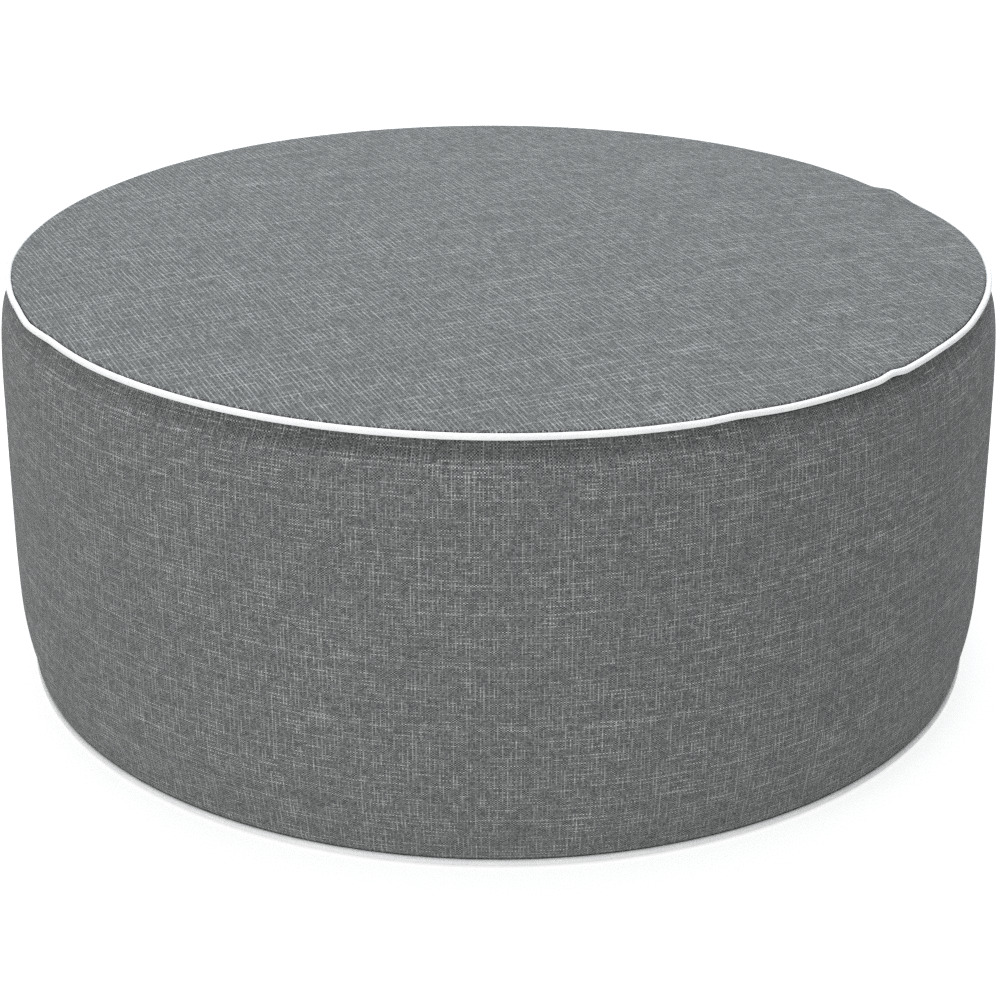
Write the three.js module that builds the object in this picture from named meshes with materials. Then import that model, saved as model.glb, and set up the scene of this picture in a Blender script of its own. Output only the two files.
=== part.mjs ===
import * as THREE from "three";

// A round inflatable ottoman in a sewn cloth cover: a crowned top panel, a filled side band and a
// flat bottom panel, with white piping in the top seam and in the bottom seam.
// Sizes are in millimetres. It stands on z = 0, its axis is Z and its front faces -Y.

// Overall sizes, with the ottoman filled.
const DIAMETER = 533;
const HEIGHT = 229;

// The seams, each measured to the centre of its piping.
const TOP_SEAM_RADIUS = 258;
const TOP_SEAM_HEIGHT = 219;
const BOTTOM_SEAM_RADIUS = 260;
const BOTTOM_SEAM_HEIGHT = 2.4;
const PIPING_RADIUS = 1.6;

// The cloth, and the room between neighbouring pieces, which is wider under the top panel because the
// kinks of the seam narrow it there.
const CLOTH = 2;
const GAP = 0.3;
const PANEL_GAP = 0.45;

// How the top panel rises from its edge to the middle: a short full shoulder, then the broad crown.
const PANEL_EDGE_RISE = 2.2;
const SHOULDER_RISE = 0.8;
const SHOULDER_POWER = 60;
const CROWN_POWER = 2.6;

// How far the unevenness of the top seam reaches into the cloth on both sides of it.
const SEAM_REACH = 34;

// Fineness of the surfaces.
const AROUND = 120;
const PIPING_SIDES = 8;

// Where the top panel has its rings, as shares of its radius.
const PANEL_RINGS = [0, 0.36, 0.62, 0.79, 0.89, 0.95, 0.98, 1];

// The filled side from the bottom seam up: height above the floor, and how far the cloth is drawn in
// from the widest part.
const SIDE = [
  { height: 6, inset: 5.8 },
  { height: 14, inset: 4.6 },
  { height: 24, inset: 2.5 },
  { height: 38, inset: 0.7 },
  { height: 62, inset: 0 },
  { height: 101, inset: 0.1 },
  { height: 144, inset: 0.6 },
  { height: 178, inset: 1.6 },
  { height: 196, inset: 3.1 },
  { height: 206, inset: 4.7 },
  { height: 212, inset: 6.2 },
  { height: 215.5, inset: 7.6 },
];

// The uneven run of the top seam. Angle is in degrees from the front towards the right, and out and
// rise are how far the seam strays from its ring. It kinks at the left and right of the front, stands out
// at both sides and sags at the right of the back.
const TOP_SEAM = [
  { angle: -180, out: 0, rise: 0.4 },
  { angle: -144, out: 0.5, rise: 0.9 },
  { angle: -120, out: 0.1, rise: 0.2 },
  { angle: -99, out: 0.6, rise: 0.3 },
  { angle: -87, out: 1.3, rise: 0.2 },
  { angle: -78, out: 0.2, rise: 0 },
  { angle: -69, out: -0.5, rise: 0.2 },
  { angle: -63, out: 0.6, rise: -0.2 },
  { angle: -57, out: -1, rise: 0.9 },
  { angle: -48, out: -0.3, rise: 0.5 },
  { angle: -30, out: -0.1, rise: 0.2 },
  { angle: 0, out: 0.1, rise: -0.3 },
  { angle: 12, out: 0.1, rise: -0.4 },
  { angle: 21, out: 0.1, rise: -0.3 },
  { angle: 24, out: -0.1, rise: 0.4 },
  { angle: 30, out: 0.3, rise: -0.5 },
  { angle: 42, out: 0.5, rise: -0.8 },
  { angle: 45, out: 0.3, rise: -0.5 },
  { angle: 48, out: 0.6, rise: -0.8 },
  { angle: 54, out: 0, rise: 0.1 },
  { angle: 63, out: 0.4, rise: -0.2 },
  { angle: 69, out: 0, rise: 0 },
  { angle: 78, out: 0.5, rise: 0 },
  { angle: 90, out: 1.2, rise: -0.4 },
  { angle: 99, out: 0.9, rise: -1 },
  { angle: 108, out: -0.8, rise: -1.8 },
  { angle: 114, out: -0.3, rise: -0.6 },
  { angle: 120, out: -1.2, rise: -2.6 },
  { angle: 132, out: -0.5, rise: -1.3 },
  { angle: 150, out: -0.2, rise: -0.4 },
  { angle: 180, out: 0, rise: 0.4 },
];

// The groove under the top seam, where the cloth is drawn in: its depth at an angle in degrees from the
// front towards the right.
const GROOVE = [
  { angle: -180, depth: 4 },
  { angle: -90, depth: 1.5 },
  { angle: -45, depth: 2.8 },
  { angle: -30, depth: 3.5 },
  { angle: -20, depth: 6.5 },
  { angle: 0, depth: 7 },
  { angle: 12, depth: 5.8 },
  { angle: 22, depth: 4.5 },
  { angle: 34, depth: 3.6 },
  { angle: 45, depth: 4.6 },
  { angle: 56, depth: 3.5 },
  { angle: 70, depth: 2.8 },
  { angle: 90, depth: 2 },
  { angle: 135, depth: 3.5 },
  { angle: 180, depth: 4 },
];

// The height of the groove's deepest line, and how far the groove reaches above and below it.
const GROOVE_HEIGHT = 213;
const GROOVE_ABOVE = 2.8;
const GROOVE_BELOW = 9;

// Sizes that follow from those above.
const PANEL_RADIUS = TOP_SEAM_RADIUS - PIPING_RADIUS - GAP;
const PANEL_EDGE_HEIGHT = TOP_SEAM_HEIGHT + PANEL_EDGE_RISE;
const CROWN_RISE = HEIGHT - PANEL_EDGE_HEIGHT - SHOULDER_RISE;
const BASE_RADIUS = BOTTOM_SEAM_RADIUS - PIPING_RADIUS - GAP;
const FILL_BOTTOM = CLOTH + GAP;
const SEAT_RADIUS = (PIPING_RADIUS + GAP) / Math.cos(Math.PI / PIPING_SIDES);

// The values of a table at an angle in degrees, taken between the rows on both sides of it.
function rowAt(table, angle) {
  const after = Math.max(table.findIndex((row) => row.angle >= angle), 1);
  const last = table[after - 1];
  const next = table[after];
  const share = (angle - last.angle) / (next.angle - last.angle);
  const values = Object.keys(next).map((key) => [key, THREE.MathUtils.lerp(last[key], next[key], share)]);
  return Object.fromEntries(values);
}

// Moves each point of a shape. The change takes a radius, an angle in degrees and a height, and gives the
// new radius and height.
function movePoints(geometry, change) {
  const points = geometry.getAttribute("position");
  for (let i = 0; i < points.count; i += 1) {
    const x = points.getX(i);
    const y = points.getY(i);
    const radius = Math.hypot(x, y);
    const angle = THREE.MathUtils.radToDeg(Math.atan2(x, -y));
    const moved = change(radius, angle, points.getZ(i));
    const scale = radius > 0 ? moved.radius / radius : 1;
    points.setXYZ(i, x * scale, y * scale, moved.height);
  }
  return geometry;
}

// A point moved with the top seam, less the further it lies from the seam.
function withSeam(radius, angle, height) {
  const away = Math.hypot(radius - TOP_SEAM_RADIUS, height - TOP_SEAM_HEIGHT);
  const pull = Math.exp(-((away / SEAM_REACH) ** 2));
  const seam = rowAt(TOP_SEAM, angle);
  return { radius: radius + seam.out * pull, height: height + seam.rise * pull };
}

// A point of the side drawn in along the groove, more the nearer it lies to the groove's deepest line.
function intoGroove(radius, angle, height) {
  const reach = height > GROOVE_HEIGHT ? GROOVE_ABOVE : GROOVE_BELOW;
  const near = Math.exp(-(((height - GROOVE_HEIGHT) / reach) ** 2));
  return { radius: radius - rowAt(GROOVE, angle).depth * near, height };
}

// Turns a profile of [radius, height] pairs about the vertical axis.
function turned(profile) {
  const points = profile.map(([radius, height]) => new THREE.Vector2(radius, height));
  const geometry = new THREE.LatheGeometry(points, AROUND);
  geometry.rotateX(Math.PI / 2);
  return geometry;
}

// A point on a circle about a seam, at an angle in degrees from straight out.
function aboutSeam(radius, height, reach, angle) {
  const turn = THREE.MathUtils.degToRad(angle);
  return [radius + reach * Math.cos(turn), height + reach * Math.sin(turn)];
}

// The height of the top panel's upper face at a share of its radius.
function crownAt(share) {
  const shoulder = SHOULDER_RISE * (1 - share ** SHOULDER_POWER);
  const crown = CROWN_RISE * (1 - share ** CROWN_POWER);
  return PANEL_EDGE_HEIGHT + shoulder + crown;
}

// One ring of the crowned panel, at a depth below its upper face.
function crownRing(share, depth) {
  return [share * PANEL_RADIUS, crownAt(share) - depth];
}

// The top panel: a crowned sheet whose edge ends at the piping.
function topPanel() {
  const upper = PANEL_RINGS.map((share) => crownRing(share, 0));
  const lower = PANEL_RINGS.map((share) => crownRing(share, CLOTH));
  return movePoints(turned([...lower, ...upper.reverse()]), withSeam);
}

// The filled side: drawn in at both seams and along the groove, with a seat for each piping and the crown
// on its top.
function sideBand() {
  const side = SIDE.map((row) => [DIAMETER / 2 - row.inset, row.height]);
  const top = PANEL_RINGS.slice(0, -1).map((share) => crownRing(share, CLOTH + PANEL_GAP));
  const filled = turned([
    [0, FILL_BOTTOM],
    [BASE_RADIUS - GAP, FILL_BOTTOM],
    aboutSeam(BOTTOM_SEAM_RADIUS, BOTTOM_SEAM_HEIGHT, SEAT_RADIUS, 135),
    aboutSeam(BOTTOM_SEAM_RADIUS, BOTTOM_SEAM_HEIGHT, SEAT_RADIUS, 90),
    ...side,
    aboutSeam(TOP_SEAM_RADIUS, TOP_SEAM_HEIGHT, SEAT_RADIUS, 270),
    aboutSeam(TOP_SEAM_RADIUS, TOP_SEAM_HEIGHT, SEAT_RADIUS, 225),
    ...top.reverse(),
  ]);
  return movePoints(movePoints(filled, intoGroove), withSeam);
}

// The bottom panel: a flat round sheet that rests on the floor.
function bottomPanel() {
  return turned([
    [0, 0],
    [BASE_RADIUS, 0],
    [BASE_RADIUS, CLOTH],
    [0, CLOTH],
  ]);
}

// One ring of covered cord about a seam.
function piping(radius, height) {
  const profile = [];
  for (let i = 0; i <= PIPING_SIDES; i += 1) {
    profile.push(aboutSeam(radius, height, PIPING_RADIUS, ((i % PIPING_SIDES) * 360) / PIPING_SIDES));
  }
  return turned(profile);
}

const GREY = 0x76797a;
const WHITE = 0xf2f2f0;
const CLOTH_ROUGHNESS = 0.9;

const group = new THREE.Group();

// Adds a piece to the ottoman with a material of its own.
function add(name, geometry, colour) {
  const material = new THREE.MeshStandardMaterial({ color: colour, roughness: CLOTH_ROUGHNESS });
  const mesh = new THREE.Mesh(geometry, material);
  mesh.name = name;
  group.add(mesh);
}

add("top_panel", topPanel(), GREY);
add("side_band", sideBand(), GREY);
add("bottom_panel", bottomPanel(), GREY);
add("top_piping", movePoints(piping(TOP_SEAM_RADIUS, TOP_SEAM_HEIGHT), withSeam), WHITE);
add("bottom_piping", piping(BOTTOM_SEAM_RADIUS, BOTTOM_SEAM_HEIGHT), WHITE);

export default group;
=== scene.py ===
import math

import bpy
import numpy as np
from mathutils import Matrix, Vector


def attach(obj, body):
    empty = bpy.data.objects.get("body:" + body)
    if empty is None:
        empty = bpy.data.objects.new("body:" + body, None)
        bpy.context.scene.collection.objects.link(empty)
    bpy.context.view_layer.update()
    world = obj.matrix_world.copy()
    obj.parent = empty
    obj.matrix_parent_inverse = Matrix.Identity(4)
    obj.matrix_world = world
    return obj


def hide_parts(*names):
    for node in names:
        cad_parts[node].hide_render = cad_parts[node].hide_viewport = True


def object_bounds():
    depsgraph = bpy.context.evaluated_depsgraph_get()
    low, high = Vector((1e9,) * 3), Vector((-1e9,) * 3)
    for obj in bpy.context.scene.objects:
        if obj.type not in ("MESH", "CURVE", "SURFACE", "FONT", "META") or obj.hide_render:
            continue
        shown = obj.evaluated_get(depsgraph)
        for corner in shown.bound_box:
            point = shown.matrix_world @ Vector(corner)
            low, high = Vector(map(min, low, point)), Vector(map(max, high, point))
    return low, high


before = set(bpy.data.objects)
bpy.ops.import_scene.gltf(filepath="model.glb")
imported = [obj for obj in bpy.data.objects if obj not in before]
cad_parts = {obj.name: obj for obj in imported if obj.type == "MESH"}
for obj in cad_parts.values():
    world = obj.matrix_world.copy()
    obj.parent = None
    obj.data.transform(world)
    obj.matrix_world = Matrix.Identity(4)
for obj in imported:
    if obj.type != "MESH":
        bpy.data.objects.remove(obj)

CAD_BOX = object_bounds()
MM = 0.001

# Sizes of the ottoman in millimetres: overall from the frame, the others the same as those of its solids.
DIAMETER = round((CAD_BOX[1][0] - CAD_BOX[0][0]) / MM, 1)
HEIGHT = round((CAD_BOX[1][2] - CAD_BOX[0][2]) / MM, 1)
TOP_SEAM_RADIUS = 258.0
TOP_SEAM_HEIGHT = 219.0
BOTTOM_SEAM_RADIUS = 260.0
BOTTOM_SEAM_HEIGHT = 2.4
PIPING_RADIUS = 1.6
CROWN_POWER = 2.6
SEAM_REACH = 34.0

# The cloth as cut and sewn, in millimetres. A panel's edge turns over by a roll, and its piping lies just
# beyond it.
CLOTH = 1.2
TOP_EDGE_ROLL = 1.2
BOTTOM_EDGE_ROLL = 1.0
ROLL_TURNS_DEG = (15, 30, 45, 60, 75, 90)
TOP_EDGE_RISE = 2.1
PIPING_ROOM = 0.15
TOP_EDGE_RADIUS = TOP_SEAM_RADIUS - PIPING_RADIUS - PIPING_ROOM
BOTTOM_EDGE_RADIUS = BOTTOM_SEAM_RADIUS - PIPING_RADIUS - PIPING_ROOM

# The filled side from the bottom seam up: height, and inset from the widest part.
SIDE = (
    (4.4, 6.6), (6.0, 5.8), (14.0, 4.6), (24.0, 2.5), (38.0, 0.7), (62.0, 0.0), (101.0, 0.1),
    (144.0, 0.6), (178.0, 1.6), (196.0, 3.1), (206.0, 4.7), (212.0, 6.2), (215.5, 7.6), (217.0, 8.5),
)

# Where the side has its rows of points: the heights between which a stretch runs, and its rows.
SIDE_ROWS = ((4.4, 24.0, 8), (28.0, 190.0, 36), (193.0, 205.0, 6), (206.2, 217.0, 10))

# The rest of the filling, in millimetres: its underside, its seat round the bottom piping, its ledge under
# the top piping as (out from the panel's edge, height), and its top, which lies close under the top panel.
UNDERSIDE_RINGS = 7
SEAT_RADIUS = 1.9
SEAT_TURNS_DEG = (165, 150, 135, 120, 105)
LEDGE = ((1.0, 217.0), (-0.6, 216.9), (-1.8, 216.8))
FILL_TOP_SHARE = 0.989
FILL_TOP_RINGS = 14
FILL_TOP_ROOM = 0.5
FILL_EDGE_DROP = 1.4
FILL_EDGE_POWER = 40

# The run of the top seam: degrees from the front towards the right, out and rise in millimetres. The cord
# softens its kinks a little.
TOP_SEAM = (
    (-180, 0.0, 0.4), (-144, 0.5, 0.9), (-120, 0.1, 0.2), (-99, 0.6, 0.3), (-87, 1.3, 0.2),
    (-78, 0.2, 0.0), (-69, -0.5, 0.3), (-63.5, 0.3, -0.1), (-57, -1.0, 1.0), (-48, -0.3, 0.5),
    (-30, -0.1, 0.2), (0, 0.1, -0.3), (12, 0.1, -0.4), (21, 0.1, -0.3), (24, -0.1, 0.4),
    (30, 0.3, -0.5), (43, 0.5, -0.8), (45, -0.1, 0.4), (47, 0.6, -0.8), (54, 0.1, 0.0),
    (63, 0.4, -0.2), (69, 0.0, 0.0), (78, 0.5, 0.0), (90, 1.2, -0.4), (99, 0.9, -1.0),
    (111, -0.9, -1.9), (116.5, 0.1, -0.3), (120, -1.3, -2.7), (132, -0.5, -1.3), (150, -0.2, -0.4),
    (180, 0.0, 0.4),
)
SEAM_STEP_DEG = 0.5
SEAM_SOFTEN_DEG = 0.5
SEAM_SOFTEN_STEPS = 12

# The groove under the top seam, where the cloth is drawn in: degrees from the front towards the right,
# and depth in millimetres. Then the height of its deepest line, its reach above and below that, and the
# radius from which it sets in.
GROOVE = (
    (-180, 4.0), (-90, 1.5), (-45, 3.2), (-31, 5.2), (-22, 7.2), (0, 7.0), (12, 5.8), (22, 4.5), (34, 2.8),
    (45, 3.6), (56, 3.2), (70, 2.8), (90, 2.0), (135, 3.5), (180, 4.0),
)
GROOVE_HEIGHT = 216.0
GROOVE_ABOVE = 2.8
GROOVE_BELOW = 9.0
GROOVE_FROM_RADIUS = 250.0
GROOVE_FADE = 5.0

# How air fills the side: how slim it starts, the push of the air, the cloth's stiffness, and how far the
# filled cloth may end from the cut shape.
FILL_SLACK = 4.0
FILL_PRESSURE = 4.0
FILL_STIFFNESS = 5.0
FILL_STEPS = 20
FILL_LEEWAY = 1.5

# The small swellings of the piping, as a share of its radius, in waves that run round the ottoman.
PIPING_SWELL = 0.008
PIPING_WAVES = (37, 61, 97, 151, 233)
TOP_PIPING_SEED = 11
BOTTOM_PIPING_SEED = 12

# How fine the meshes are. The side is made twice as fine once it is filled.
AROUND = 240
PIPING_STEPS = 1440
PIPING_SIDES = 14
GRID = 120

# The cover's plain weave, in metres: upright warp threads, level weft threads. In both, some threads are
# pale along short thick stretches, called slubs. For each kind of thread: the share that is pale, how
# unevenly the pale ones follow each other, where its random numbers start, and how fine its slubs are.
WARP_PITCH = 0.00078
WEFT_PITCH = 0.00059
WARP = {"pale": 0.375, "jitter": 0.1, "seed": 3.0, "scale": 110.0}
WEFT = {"pale": 0.29, "jitter": 0.15, "seed": 70007.0, "scale": 105.0}
BAND_WARP_THREADS = 2144
TOP_WEAVE_TURN = math.radians(24.5)
WANDER_SCALE = 15.0
SLUB_DETAIL = 1.5
SLUB_ROUGHNESS = 0.6
SLUB_FROM = 0.39
SLUB_TO = 0.68
PATCH_SCALE = 30.0
CHECK_SCALE = 250.0
FIBRE_SCALE = 700.0

# How far apart the noise of neighbouring threads lies, and of crossings in both directions.
THREAD_APART = 0.731
CROSSING_APART = (0.7137, 31.77)
FIBRE_APART = 0.37
FIBRE_OWN = 0.5
PANEL_WEFT_OWN = 0.9

# How the weave looks on the side and on the top, whose warp is more even: the strength of the warp's and
# the weft's slubs, how many weft threads are pale together, how closely slubs follow each other, the
# levels between which a warp thread turns pale, how patchy the slubs and the plain weave are, and how many
# threads the weave wanders.
SIDE_LOOK = {
    "warp": 1.14, "weft": 1.14, "together": 1, "run": 1.0, "from": SLUB_FROM, "to": SLUB_TO, "patch": 0.4,
    "spread": 0.6, "wander": 2.0,
}
TOP_LOOK = {
    "warp": 1.85, "weft": 0.8, "together": 2, "run": 0.85, "from": 0.25, "to": 0.8, "patch": 0.3,
    "spread": 0.38, "wander": 7.0,
}

# The tones of the weave, each a share of the way from the dark thread to the pale one, and how much light
# reaches the gaps between the threads and their ridges: painted shade in the gaps, painted highlight on the
# ridges.
DARK_THREAD = (0.0292, 0.0310, 0.0320, 1)
PALE_THREAD = (0.505, 0.511, 0.509, 1)
PLAIN_TONE = 0.2
CHECK_TONE = 0.085
WARP_SLUB_TONE = 0.3
WEFT_SLUB_TONE = 0.355
SLUB_COVER_TONE = 0.08
CROSSING_TONE = 0.24
FIBRE_TONE = 0.05
GAP_LIGHT = 0.35
RIDGE_LIGHT = 1.2

# The finish of the cover and of the piping. Relief is the height of the threads in metres.
COVER_FINISH = {"roughness": 0.92, "sheen": 0.04, "relief": 0.00025}
PIPING_FINISH = {"roughness": 0.85, "sheen": 0.06, "relief": 0.00015}
RELIEF_STRENGTH = 0.55
SHEEN_ROUGHNESS = 0.5
CLOTH_SPECULAR = 0.15
PIPING_DIM = (0.64, 0.643, 0.646, 1)
PIPING_BRIGHT = (0.68, 0.68, 0.677, 1)
PIPING_FINE_SCALE = 1600.0
PIPING_BROAD_SCALE = 60.0

# Noise lies mostly between low and high, about a middle.
NOISE_LOW = 0.3
NOISE_MIDDLE = 0.5
NOISE_HIGH = 0.7
NOISE_DETAIL = 2.0

# The floor, in metres, and its pale colour.
FLOOR_REACH = 60.0
FLOOR_DIM = (0.44, 0.44, 0.44, 1)
FLOOR_BRIGHT = (0.46, 0.46, 0.46, 1)
FLOOR_ROUGHNESS = 0.9
FLOOR_NOISE_SCALE = 0.7
FLOOR_GLOW = 0.62

# The light: name, place and aim in metres, size, power and colour.
WHITE = (1.0, 1.0, 1.0)
COOL = (0.955, 1.0, 1.025)
LIGHTS = (
    ("overhead", (0, 0, 2.4), (0, 0, 0), (2.4, 2.4), 60.0, COOL),
    ("behind", (0, 1.2, 2.1), (0, 0, 0.1), (2.4, 1.6), 31.0, COOL),
    ("front_low", (-0.3, -3.0, 0.5), (0, 0, 0.1), (2.0, 0.9), 24.5, WHITE),
    ("front_left", (-1.8, -2.0, 1.2), (0, 0, 0.1), (1.6, 1.6), 22.0, WHITE),
)
SKY_LIGHT = 0.34

# The camera, fitted to the photograph: degrees, metres, and millimetres for lens and sensor.
CAMERA_ELEVATION = 24.09
CAMERA_DISTANCE = 1.277
CAMERA_AIM_HEIGHT = 0.0734
CAMERA_LENS = 81.6
CAMERA_SENSOR = 36.0
CAMERA_SHIFT_X = 0.0015
CAMERA_CLIP = 0.01


# Shapes

def seam_tables():
    """The seam's stray out and up at every half degree, softened as cord softens a kink."""
    fine = np.arange(-180.0, 180.0, SEAM_STEP_DEG)
    table = np.array(TOP_SEAM)
    steps = SEAM_SOFTEN_STEPS
    reach = np.arange(-steps, steps + 1) * SEAM_STEP_DEG
    kernel = np.exp(-0.5 * (reach / SEAM_SOFTEN_DEG) ** 2)
    kernel /= kernel.sum()
    soft = []
    for column in (1, 2):
        raw = np.interp(fine, table[:, 0], table[:, column])
        wrapped = np.concatenate([raw[-steps:], raw, raw[:steps]])
        soft.append(np.convolve(wrapped, kernel, "valid"))
    return fine, soft[0], soft[1]


SEAM_ANGLE, SEAM_OUT, SEAM_RISE = seam_tables()


def degrees_of(angle):
    """Angles in radians from the front as degrees between -180 and 180."""
    return (np.degrees(angle) + 180.0) % 360.0 - 180.0


def follow_seam(radius, angle, height):
    """Points near the top seam moved with it, less the further they lie from it."""
    away = np.hypot(radius - TOP_SEAM_RADIUS, height - TOP_SEAM_HEIGHT)
    pull = np.exp(-((away / SEAM_REACH) ** 2))
    degrees = degrees_of(angle)
    out = np.interp(degrees, SEAM_ANGLE, SEAM_OUT, period=360.0)
    rise = np.interp(degrees, SEAM_ANGLE, SEAM_RISE, period=360.0)
    return radius + out * pull, angle, height + rise * pull


def draw_in(radius, angle, height):
    """The filled side drawn in along the groove under the top seam."""
    at, depth = np.array(GROOVE).T
    reach = np.where(height > GROOVE_HEIGHT, GROOVE_ABOVE, GROOVE_BELOW)
    near = np.exp(-(((height - GROOVE_HEIGHT) / reach) ** 2))
    on_side = np.clip((radius - GROOVE_FROM_RADIUS) / GROOVE_FADE, 0, 1)
    return radius - np.interp(degrees_of(angle), at, depth) * near * on_side, angle, height


def placed(radius, angle, height):
    """Points in metres from radius and height in millimetres and the angle from the front."""
    return np.stack([radius * np.sin(angle), -radius * np.cos(angle), height], -1) * MM


def smooth_rows(rows, at):
    """A smooth curve through (position, value) rows, read at other positions."""
    x, y = np.array(rows).T
    slope = np.gradient(y, x)
    k = np.clip(np.searchsorted(x, at) - 1, 0, len(x) - 2)
    span = x[k + 1] - x[k]
    t = (at - x[k]) / span
    return (
        (1 + 2 * t) * (1 - t) ** 2 * y[k] + t * (1 - t) ** 2 * span * slope[k]
        + t * t * (3 - 2 * t) * y[k + 1] + t * t * (t - 1) * span * slope[k + 1]
    )


def crown_at(share):
    """Height of the top panel's upper face at a share of its radius."""
    edge = TOP_SEAM_HEIGHT + TOP_EDGE_RISE
    return edge + (HEIGHT - edge) * (1 - share ** CROWN_POWER)


def make_object(name, points, faces):
    """A smooth mesh object in the scene."""
    mesh = bpy.data.meshes.new(name)
    mesh.from_pydata(points.reshape(-1, 3).tolist(), [], faces)
    mesh.validate()
    mesh.shade_smooth()
    piece = bpy.data.objects.new(name, mesh)
    bpy.context.scene.collection.objects.link(piece)
    return piece


def disc_grid(n):
    """An even grid on the unit disc: points, faces, and the loop of its edge."""
    line = np.linspace(-1, 1, n + 1)
    a, b = np.meshgrid(line, line, indexing="ij")
    reach = np.maximum(np.abs(a), np.abs(b))
    length = np.hypot(a, b)
    scale = np.divide(reach, length, out=np.zeros_like(reach), where=length > 0)
    points = np.stack([a * scale, b * scale], -1).reshape(-1, 2)
    index = np.arange((n + 1) ** 2).reshape(n + 1, n + 1)
    quads = np.stack([index[:-1, :-1], index[1:, :-1], index[1:, 1:], index[:-1, 1:]], -1).reshape(-1, 4)
    loop = np.concatenate([index[:-1, 0], index[-1, :-1], index[:0:-1, -1], index[0, :0:-1]])
    return points, quads, loop


def sheet_disc(name, edge, face_height, roll, up):
    """A round sheet whose edge turns over by roll. face_height gives its show face at a radius. The face
    looks up, or down where up is -1."""
    inner = edge - roll
    flat, quads, loop = disc_grid(GRID)
    radius = np.hypot(flat[:, 0], flat[:, 1]) * inner
    angle = np.arctan2(flat[:, 0], -flat[:, 1])
    rings = [(radius, angle, face_height(radius))]
    base = face_height(np.full(len(loop), inner))
    for turn in np.radians(ROLL_TURNS_DEG):
        ring_radius = np.full(len(loop), inner + roll * math.sin(turn))
        rings.append((ring_radius, angle[loop], base - up * roll * (1 - math.cos(turn))))
    show = np.concatenate([placed(*follow_seam(*ring)) for ring in rings])
    back_rings = [(np.minimum(r, edge - CLOTH), a, h - up * CLOTH) for r, a, h in rings]
    back = np.concatenate([placed(*follow_seam(*ring)) for ring in back_rings])
    count = len(show)
    faces = quads.tolist()
    last = loop
    start = len(flat)
    for _ in ROLL_TURNS_DEG:
        ring = np.arange(start, start + len(loop))
        faces += np.stack([last, ring, np.roll(ring, -1), np.roll(last, -1)], -1).tolist()
        last = ring
        start += len(loop)
    under = [[v + count for v in face[::-1]] for face in faces]
    rim = np.stack([last, last + count, np.roll(last, -1) + count, np.roll(last, -1)], -1).tolist()
    faces = faces + under + rim
    if up < 0:
        faces = [face[::-1] for face in faces]
    return make_object(name, np.concatenate([show, back]), faces)


def top_panel():
    """The crowned top panel."""
    def crown(radius):
        return crown_at(np.clip(radius / TOP_EDGE_RADIUS, 0, 1))

    return sheet_disc("top_panel_cloth", TOP_EDGE_RADIUS, crown, TOP_EDGE_ROLL, 1)


def bottom_panel():
    """The bottom panel, flat on the floor."""
    return sheet_disc("bottom_panel_cloth", BOTTOM_EDGE_RADIUS, np.zeros_like, BOTTOM_EDGE_ROLL, -1)


def lathe(name, profile):
    """A closed form turned from a profile that starts and ends on the axis, moved with the top seam."""
    profile = np.array(profile)
    angle = np.arange(AROUND) * 2 * math.pi / AROUND
    radius, turn = np.meshgrid(profile[1:-1, 0], angle, indexing="ij")
    height = np.repeat(profile[1:-1, 1][:, None], AROUND, 1)
    body = placed(*follow_seam(radius, turn, height)).reshape(-1, 3)
    ends = placed(profile[[0, -1], 0], np.zeros(2), profile[[0, -1], 1])
    points = np.concatenate([body, ends])
    index = np.arange(len(body)).reshape(-1, AROUND)
    right = np.roll(index, -1, axis=1)
    faces = np.stack([index[:-1], right[:-1], right[1:], index[1:]], -1).reshape(-1, 4).tolist()
    low, high = len(body), len(body) + 1
    faces += [[low, int(b), int(a)] for a, b in zip(index[0], right[0])]
    faces += [[high, int(a), int(b)] for a, b in zip(index[-1], right[-1])]
    return make_object(name, points, faces)


def points_of(mesh):
    """The points of a mesh, in metres."""
    points = np.empty(len(mesh.vertices) * 3)
    mesh.vertices.foreach_get("co", points)
    return points.reshape(-1, 3)


def move_points(mesh, points):
    """Moves all points of a mesh."""
    mesh.vertices.foreach_set("co", points.ravel())
    mesh.update()


def inflate(piece, first, slack):
    """Air fills a piece from a slim start until its cloth is taut. slack is how far in each row of points
    starts, from the first row on; points without slack are held by a seam."""
    scene = bpy.context.scene
    cut = points_of(piece.data)
    drawn = np.zeros(len(cut))
    drawn[first * AROUND:(first + len(slack)) * AROUND] = np.repeat(slack, AROUND)
    radius = np.hypot(cut[:, 0], cut[:, 1])
    slim = cut.copy()
    slim[:, :2] *= (1 - drawn * MM / np.maximum(radius, MM))[:, None]
    move_points(piece.data, slim)
    held = piece.vertex_groups.new(name="held")
    held.add(np.flatnonzero(drawn == 0).tolist(), 1.0, "REPLACE")
    snug = piece.vertex_groups.new(name="snug")
    for value in np.unique(drawn):
        snug.add(np.flatnonzero(drawn == value).tolist(), 1 - value / FILL_SLACK, "REPLACE")
    cloth = piece.modifiers.new("air", "CLOTH")
    cloth.collision_settings.use_collision = False
    settings = cloth.settings
    settings.vertex_group_mass = held.name
    settings.vertex_group_shrink = snug.name
    settings.shrink_min = -2 * FILL_SLACK / DIAMETER
    settings.effector_weights.gravity = 0.0
    settings.use_pressure = True
    settings.uniform_pressure_force = FILL_PRESSURE
    settings.tension_stiffness = FILL_STIFFNESS
    settings.compression_stiffness = FILL_STIFFNESS
    settings.shear_stiffness = FILL_STIFFNESS
    for step in range(1, FILL_STEPS + 1):
        scene.frame_set(step)
    filled = points_of(piece.evaluated_get(bpy.context.evaluated_depsgraph_get()).data)
    piece.modifiers.remove(cloth)
    piece.vertex_groups.clear()
    scene.frame_set(1)
    stray = filled - cut
    length = np.linalg.norm(stray, axis=1, keepdims=True)
    leeway = FILL_LEEWAY * MM
    move_points(piece.data, cut + stray * (leeway / np.maximum(length, leeway)))


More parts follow.
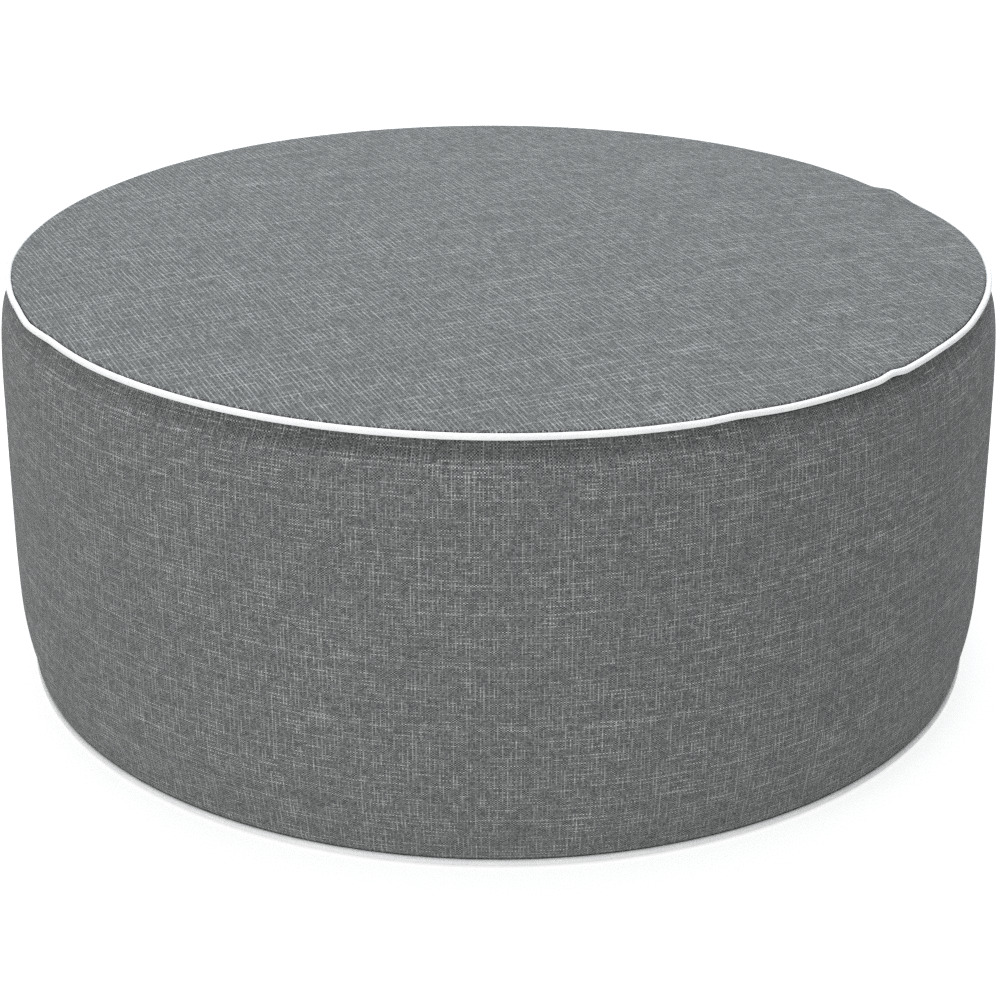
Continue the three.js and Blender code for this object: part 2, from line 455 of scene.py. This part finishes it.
def subdivide(piece):
    """Gives a piece a mesh that is twice as fine."""
    finer = piece.modifiers.new("finer", "SUBSURF")
    finer.levels = finer.render_levels = 1
    coarse = piece.data
    made = piece.evaluated_get(bpy.context.evaluated_depsgraph_get())
    piece.data = bpy.data.meshes.new_from_object(made)
    piece.modifiers.remove(finer)
    bpy.data.meshes.remove(coarse)
    piece.data.name = piece.name
    piece.data.shade_smooth()


def side_band():
    """The side, filled with air between its seams, with the groove under the top seam."""
    underside = np.linspace(0, BOTTOM_SEAM_RADIUS - 2 * PIPING_RADIUS, UNDERSIDE_RINGS)
    low = [(radius, BOTTOM_SEAM_HEIGHT) for radius in underside]
    seat = []
    for turn in np.radians(SEAT_TURNS_DEG):
        radius = BOTTOM_SEAM_RADIUS + SEAT_RADIUS * math.cos(turn)
        seat.append((radius, BOTTOM_SEAM_HEIGHT + SEAT_RADIUS * math.sin(turn)))
    heights = np.concatenate([np.linspace(*stretch) for stretch in SIDE_ROWS])
    side = np.stack([DIAMETER / 2 - smooth_rows(SIDE, heights), heights], -1).tolist()
    ledge = [(TOP_EDGE_RADIUS + out, height) for out, height in LEDGE]
    top = []
    for share in np.linspace(FILL_TOP_SHARE, 0, FILL_TOP_RINGS):
        drop = CLOTH + FILL_TOP_ROOM + FILL_EDGE_DROP * share ** FILL_EDGE_POWER
        top.append((TOP_EDGE_RADIUS * share, crown_at(share) - drop))
    band = lathe("side_band_cloth", low + seat + side + ledge + top)
    up = (heights - heights[0]) / (heights[-1] - heights[0])
    slack = FILL_SLACK * np.sqrt(np.sin(math.pi * up).clip(0)).round(3)
    inflate(band, len(low) + len(seat) - 1, slack)
    subdivide(band)
    x, y, z = points_of(band.data).T / MM
    move_points(band.data, placed(*draw_in(np.hypot(x, y), np.arctan2(x, -y), z)))
    return band


def piping(name, seam_radius, seam_height, seed, follow):
    """A covered cord in a seam, with the small swellings of cloth drawn over cord."""
    rng = np.random.default_rng(seed)
    angle = np.arange(PIPING_STEPS) * 2 * math.pi / PIPING_STEPS
    swell = np.zeros(PIPING_STEPS)
    for waves in PIPING_WAVES:
        swell += rng.normal(0, PIPING_SWELL) * np.cos(waves * angle + rng.uniform(0, 2 * math.pi))
    turn = np.arange(PIPING_SIDES) * 2 * math.pi / PIPING_SIDES
    reach = PIPING_RADIUS * (1 + swell)[:, None]
    radius = seam_radius + reach * np.cos(turn)[None]
    height = seam_height + reach * np.sin(turn)[None]
    around = np.repeat(angle[:, None], PIPING_SIDES, 1)
    if follow:
        radius, around, height = follow_seam(radius, around, height)
    points = placed(radius, around, height)
    index = np.arange(PIPING_STEPS * PIPING_SIDES).reshape(PIPING_STEPS, PIPING_SIDES)
    along = np.roll(index, -1, axis=0)
    faces = np.stack([index, along, np.roll(along, -1, axis=1), np.roll(index, -1, axis=1)], -1)
    return make_object(name, points, faces.reshape(-1, 4).tolist())


# Materials

class Nodes:
    """Shorthand for making shader nodes."""

    def __init__(self, material):
        material.use_nodes = True
        self.tree = material.node_tree
        self.tree.nodes.clear()

    def new(self, kind, inputs=None, **settings):
        node = self.tree.nodes.new(kind)
        for key, value in settings.items():
            setattr(node, key, value)
        for key, value in (inputs or {}).items():
            self.put(node.inputs[key], value)
        return node

    def put(self, socket, value):
        """Links an output to a socket, or sets a plain value on it."""
        if isinstance(value, bpy.types.NodeSocket):
            self.tree.links.new(value, socket)
        else:
            socket.default_value = value

    def place(self):
        """The place on the piece, in metres."""
        return self.new("ShaderNodeTexCoord").outputs["Object"]

    def split(self, vector):
        return self.new("ShaderNodeSeparateXYZ", {"Vector": vector}).outputs

    def math(self, operation, *values):
        node = self.new("ShaderNodeMath", operation=operation)
        for socket, value in zip(node.inputs, values):
            self.put(socket, value)
        return node.outputs[0]

    def vector(self, x, y, z):
        return self.new("ShaderNodeCombineXYZ", {"X": x, "Y": y, "Z": z}).outputs[0]

    def noise(self, vector, scale, detail=1.0, roughness=0.5):
        inputs = {"Vector": vector, "Scale": scale, "Detail": detail, "Roughness": roughness}
        return self.new("ShaderNodeTexNoise", inputs).outputs["Fac"]

    def chance(self, value):
        """A steady random number for each whole number."""
        return self.new("ShaderNodeTexWhiteNoise", {"W": value}, noise_dimensions="1D").outputs["Value"]

    def ramp(self, value, low, high):
        """Value taken from low..high to 0..1, softly at both ends."""
        inputs = {"Value": value, "From Min": low, "From Max": high}
        return self.new("ShaderNodeMapRange", inputs, interpolation_type="SMOOTHSTEP").outputs["Result"]

    def mix(self, share, a, b):
        """A colour between two colours, which are the sockets 6 and 7 of the node."""
        node = self.new("ShaderNodeMix", data_type="RGBA")
        self.put(node.inputs["Factor"], share)
        self.put(node.inputs[6], a)
        self.put(node.inputs[7], b)
        return node.outputs[2]

    def surface(self, inputs):
        """The surface, as the material's result."""
        shader = self.new("ShaderNodeBsdfPrincipled", inputs)
        out = self.new("ShaderNodeOutputMaterial")
        self.tree.links.new(shader.outputs[0], out.inputs["Surface"])


def thread(n, kind, number, run, low, high):
    """How pale a thread is along its length: 0 where it is plain, up to 1 in a slub."""
    chance = n.chance(n.math("ADD", number, kind["seed"]))
    cycle = n.math("MULTIPLY_ADD", number, kind["pale"], n.math("MULTIPLY", chance, kind["jitter"]))
    pale = n.math("LESS_THAN", n.math("FRACT", cycle), kind["pale"])
    slub = n.ramp(n.noise(run(number, 0.0), kind["scale"], SLUB_DETAIL, SLUB_ROUGHNESS), low, high)
    return n.math("MULTIPLY", pale, slub)


def weave(n, p, q, place, warp_run, weft_run, look):
    """Colour and height of the plain weave at p warp threads and q weft threads. The runs give the place
    along a warp thread or a weft thread of a number."""
    wander = {"Vector": place, "Scale": WANDER_SCALE, "Detail": 1.0}
    stray_p, stray_q, _ = n.split(n.new("ShaderNodeTexNoise", wander).outputs["Color"])
    p = n.math("MULTIPLY_ADD", stray_p, look["wander"], p)
    q = n.math("MULTIPLY_ADD", stray_q, look["wander"], q)
    i, j = n.math("FLOOR", p), n.math("FLOOR", q)
    over = n.math("FLOORED_MODULO", n.math("ADD", i, j), 2.0)
    under = n.math("SUBTRACT", 1.0, over)
    across_warp = n.math("SINE", n.math("MULTIPLY", n.math("FRACT", p), math.pi))
    across_weft = n.math("SINE", n.math("MULTIPLY", n.math("FRACT", q), math.pi))
    height = n.math("SQRT", n.math("MULTIPLY", across_warp, across_weft))

    pair = n.math("FLOOR", n.math("DIVIDE", j, look["together"]))
    warp_slub = thread(n, WARP, i, warp_run, look["from"], look["to"])
    weft_slub = thread(n, WEFT, pair, weft_run, SLUB_FROM, SLUB_TO)
    patch = n.ramp(n.noise(place, PATCH_SCALE, NOISE_DETAIL), NOISE_LOW, NOISE_HIGH)
    patch = n.math("MULTIPLY_ADD", n.math("SUBTRACT", patch, NOISE_MIDDLE), look["patch"], 1.0)
    warp_slub = n.math("MULTIPLY", n.math("MULTIPLY", warp_slub, patch), look["warp"])
    weft_slub = n.math("MULTIPLY", n.math("MULTIPLY", weft_slub, patch), look["weft"])

    uneven = n.math("SUBTRACT", n.noise(place, CHECK_SCALE), NOISE_MIDDLE)
    contrast = n.math("MULTIPLY_ADD", uneven, look["spread"], CHECK_TONE)
    tone = n.math("MULTIPLY_ADD", n.math("SUBTRACT", under, over), contrast, PLAIN_TONE)
    tone = n.math("MULTIPLY_ADD", n.math("MULTIPLY", warp_slub, over), WARP_SLUB_TONE, tone)
    tone = n.math("MULTIPLY_ADD", n.math("MULTIPLY", weft_slub, under), WEFT_SLUB_TONE, tone)
    tone = n.math("MULTIPLY_ADD", n.math("MULTIPLY", warp_slub, across_warp), SLUB_COVER_TONE, tone)
    tone = n.math("MULTIPLY_ADD", n.math("MULTIPLY", weft_slub, across_weft), SLUB_COVER_TONE, tone)
    by_warp, by_weft = CROSSING_APART
    crossing = n.chance(n.math("MULTIPLY_ADD", i, by_warp, n.math("MULTIPLY", j, by_weft)))
    tone = n.math("MULTIPLY_ADD", n.math("SUBTRACT", crossing, NOISE_MIDDLE), CROSSING_TONE, tone)
    strand = n.math("ADD", i, n.math("MULTIPLY", over, FIBRE_APART))
    fibre = n.math("SUBTRACT", n.noise(warp_run(strand, FIBRE_OWN), FIBRE_SCALE), NOISE_MIDDLE)
    tone = n.math("MULTIPLY_ADD", fibre, FIBRE_TONE, tone)
    # Painted shade in the gaps between the threads and a painted highlight on their ridges, multiplied into
    # the colour.
    light = n.math("MULTIPLY_ADD", height, RIDGE_LIGHT * (1 - GAP_LIGHT), GAP_LIGHT)
    colour = n.mix(n.math("MULTIPLY", tone, light), DARK_THREAD, PALE_THREAD)
    return colour, height


def finish_cloth(n, colour, height, finish):
    """Cloth of a colour, with the relief of its threads."""
    relief = {"Strength": RELIEF_STRENGTH, "Distance": finish["relief"], "Height": height}
    n.surface({
        "Base Color": colour, "Roughness": finish["roughness"], "Sheen Weight": finish["sheen"],
        "Sheen Roughness": SHEEN_ROUGHNESS, "Specular IOR Level": CLOTH_SPECULAR,
        "Normal": n.new("ShaderNodeBump", relief).outputs[0],
    })


def band_material():
    """The weave with its threads upright and level round the side."""
    material = bpy.data.materials.new("cover_cloth_side")
    n = Nodes(material)
    place = n.place()
    x, y, z = n.split(place)
    turn = n.math("ARCTAN2", x, n.math("MULTIPLY", y, -1.0))
    p = n.math("MULTIPLY", turn, BAND_WARP_THREADS / (2 * math.pi))
    q = n.math("DIVIDE", z, WEFT_PITCH)

    def warp_run(number, own):
        return n.vector(n.math("MULTIPLY", number, THREAD_APART), own, z)

    def weft_run(number, own):
        return n.vector(x, y, n.math("ADD", n.math("MULTIPLY", number, THREAD_APART), own))

    colour, height = weave(n, p, q, place, warp_run, weft_run, SIDE_LOOK)
    finish_cloth(n, colour, height, COVER_FINISH)
    return material


def panel_material(name, turned, look):
    """The weave on a flat panel, turned by an angle."""
    material = bpy.data.materials.new(name)
    n = Nodes(material)
    place = n.place()
    x, y, _ = n.split(place)
    c, s = math.cos(turned), math.sin(turned)
    across = n.math("ADD", n.math("MULTIPLY", x, c), n.math("MULTIPLY", y, s))
    along = n.math("SUBTRACT", n.math("MULTIPLY", y, c), n.math("MULTIPLY", x, s))
    p = n.math("DIVIDE", across, WARP_PITCH)
    q = n.math("DIVIDE", along, WEFT_PITCH)
    warp_way = n.math("MULTIPLY", along, look["run"])
    weft_way = n.math("MULTIPLY", across, look["run"])

    def warp_run(number, own):
        return n.vector(n.math("MULTIPLY", number, THREAD_APART), own, warp_way)

    def weft_run(number, own):
        return n.vector(weft_way, own + PANEL_WEFT_OWN, n.math("MULTIPLY", number, THREAD_APART))

    colour, height = weave(n, p, q, place, warp_run, weft_run, look)
    finish_cloth(n, colour, height, COVER_FINISH)
    return material


def piping_material():
    """The white cloth of the piping."""
    material = bpy.data.materials.new("piping_cloth")
    n = Nodes(material)
    place = n.place()
    fine = n.noise(place, PIPING_FINE_SCALE, NOISE_DETAIL)
    broad = n.noise(place, PIPING_BROAD_SCALE, NOISE_DETAIL)
    colour = n.mix(n.ramp(broad, NOISE_LOW, NOISE_HIGH), PIPING_DIM, PIPING_BRIGHT)
    finish_cloth(n, colour, fine, PIPING_FINISH)
    return material


def floor_material():
    """A pale matt floor with a soft glow."""
    material = bpy.data.materials.new("studio_floor")
    n = Nodes(material)
    colour = n.mix(n.noise(n.place(), FLOOR_NOISE_SCALE, NOISE_DETAIL), FLOOR_DIM, FLOOR_BRIGHT)
    n.surface({
        "Base Color": colour, "Roughness": FLOOR_ROUGHNESS, "Specular IOR Level": 0.0,
        "Emission Color": (1, 1, 1, 1), "Emission Strength": FLOOR_GLOW,
    })
    return material


# Studio

def area_light(name, place, aim, size, power, colour):
    """A soft light that shines from a place towards an aim."""
    light = bpy.data.lights.new(name, "AREA")
    light.shape = "RECTANGLE"
    light.size, light.size_y = size
    light.energy = power
    light.color = colour
    lamp = bpy.data.objects.new(name, light)
    bpy.context.scene.collection.objects.link(lamp)
    lamp.location = place
    lamp.rotation_euler = (Vector(aim) - Vector(place)).to_track_quat("-Z", "Y").to_euler()


def studio():
    """A pale floor and soft light."""
    reach = FLOOR_REACH
    corners = [(-reach, -reach, 0), (reach, -reach, 0), (reach, reach, 0), (-reach, reach, 0)]
    floor = make_object("floor", np.array(corners), [[0, 1, 2, 3]])
    floor.data.materials.append(floor_material())
    world = bpy.data.worlds.new("studio")
    bpy.context.scene.world = world
    world.use_nodes = True
    sky = world.node_tree.nodes["Background"]
    sky.inputs["Color"].default_value = (1, 1, 1, 1)
    sky.inputs["Strength"].default_value = SKY_LIGHT
    for light in LIGHTS:
        area_light(*light)


def camera():
    """The camera at the photograph's viewing angle."""
    data = bpy.data.cameras.new("photo_camera")
    data.sensor_width = CAMERA_SENSOR
    data.lens = CAMERA_LENS
    data.shift_x = CAMERA_SHIFT_X
    data.clip_start = CAMERA_CLIP
    seen = bpy.data.objects.new("photo_camera", data)
    bpy.context.scene.collection.objects.link(seen)
    up = math.radians(CAMERA_ELEVATION)
    height = CAMERA_AIM_HEIGHT + CAMERA_DISTANCE * math.sin(up)
    seen.location = (0, -CAMERA_DISTANCE * math.cos(up), height)
    seen.rotation_euler = (math.pi / 2 - up, 0, 0)
    bpy.context.scene.camera = seen


# The whole

def add(piece, node, material):
    """Gives a piece its material and its place in the frame."""
    piece.data.materials.append(material)
    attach(piece, "root")
    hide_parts(node)
    return piece


camera()
studio()
bpy.context.scene.view_settings.view_transform = "Standard"
bpy.context.scene.cycles.use_denoising = False

band = add(side_band(), "side_band", band_material())
top_cloth = panel_material("cover_cloth_top", TOP_WEAVE_TURN, TOP_LOOK)
top = add(top_panel(), "top_panel", top_cloth)
bottom_cloth = panel_material("cover_cloth_bottom", 0.0, SIDE_LOOK)
bottom = add(bottom_panel(), "bottom_panel", bottom_cloth)
white = piping_material()
top_cord = piping("top_piping_cord", TOP_SEAM_RADIUS, TOP_SEAM_HEIGHT, TOP_PIPING_SEED, True)
add(top_cord, "top_piping", white)
bottom_cord = piping("bottom_piping_cord", BOTTOM_SEAM_RADIUS, BOTTOM_SEAM_HEIGHT, BOTTOM_PIPING_SEED, False)
add(bottom_cord, "bottom_piping", white)
